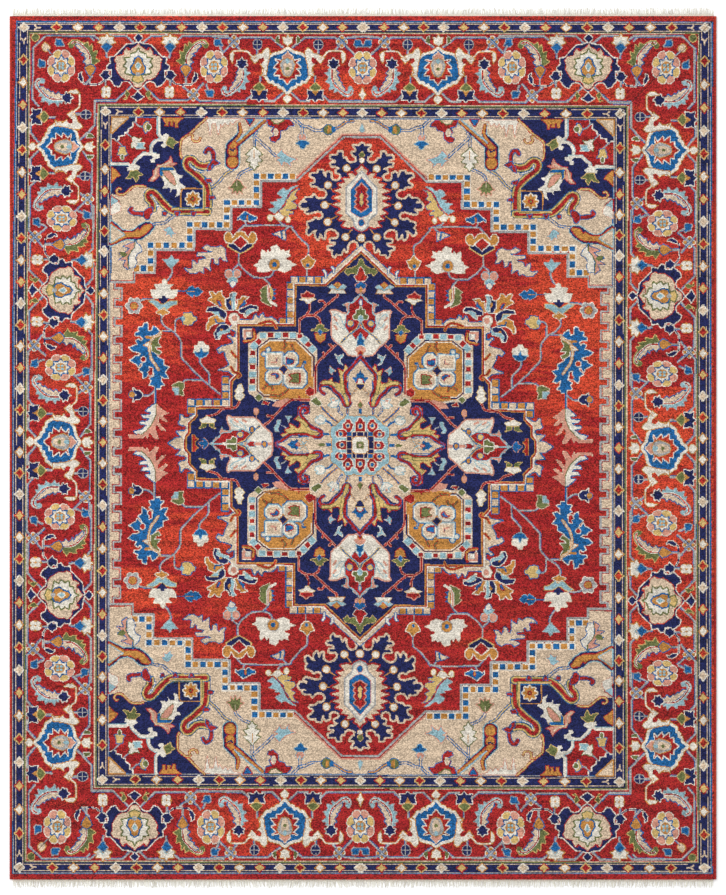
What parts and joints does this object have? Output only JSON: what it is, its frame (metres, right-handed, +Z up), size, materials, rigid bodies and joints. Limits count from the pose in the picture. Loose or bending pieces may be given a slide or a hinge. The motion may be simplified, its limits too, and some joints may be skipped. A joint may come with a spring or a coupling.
{
  "type": "area rug",
  "caption": "Rectangular hand-knotted wool pile rug with a stepped medallion, spandrels, layered borders, overcast sides and fringed ends.",
  "frame": {"origin": "centre of the underside, on the floor the rug lies on", "axes": "+X across the rug, from one overcast side to the other; +Y along the warps, from one fringe to the other; +Z up out of the pile"},
  "size_m": [2.438, 3.0332, 0.0113],
  "materials": {
    "cotton_natural": "matt undyed cotton yarn",
    "wool_red": "matt hand-spun wool pile, madder red",
    "wool_navy": "matt hand-spun wool pile, indigo navy",
    "wool_beige": "matt heathered undyed wool pile"
  },
  "bodies": {
    "root": {"woven_foundation": "cotton_natural", "selvedge_core_left": "cotton_natural", "selvedge_wrap_left": "wool_red", "selvedge_core_right": "cotton_natural", "selvedge_wrap_right": "wool_red", "kilim_end_top": "cotton_natural", "end_lock_stitch_top": "cotton_natural", "fringe_top": "cotton_natural", "kilim_end_bottom": "cotton_natural", "end_lock_stitch_bottom": "cotton_natural", "fringe_bottom": "cotton_natural", "edge_band_pile_bottom": "wool_red", "edge_band_pile_right": "wool_red", "edge_band_pile_top": "wool_red", "edge_band_pile_left": "wool_red", "outer_guard_pile_bottom": "wool_navy", "outer_guard_pile_right": "wool_navy", "outer_guard_pile_top": "wool_navy", "outer_guard_pile_left": "wool_navy", "main_border_pile_bottom": "wool_red", "main_border_pile_right": "wool_red", "main_border_pile_top": "wool_red", "main_border_pile_left": "wool_red", "inner_guard_pile_bottom": "wool_navy", "inner_guard_pile_right": "wool_navy", "inner_guard_pile_top": "wool_navy", "inner_guard_pile_left": "wool_navy", "field_pile": "wool_red", "medallion_pile": "wool_navy", "pendant_pile_top": "wool_navy", "spandrel_pile_top": "wool_beige", "pendant_pile_bottom": "wool_navy", "spandrel_pile_bottom": "wool_beige", "corner_pile_top_left": "wool_navy", "corner_pile_top_right": "wool_navy", "corner_pile_bottom_left": "wool_navy", "corner_pile_bottom_right": "wool_navy"}
  },
  "joints": []
}
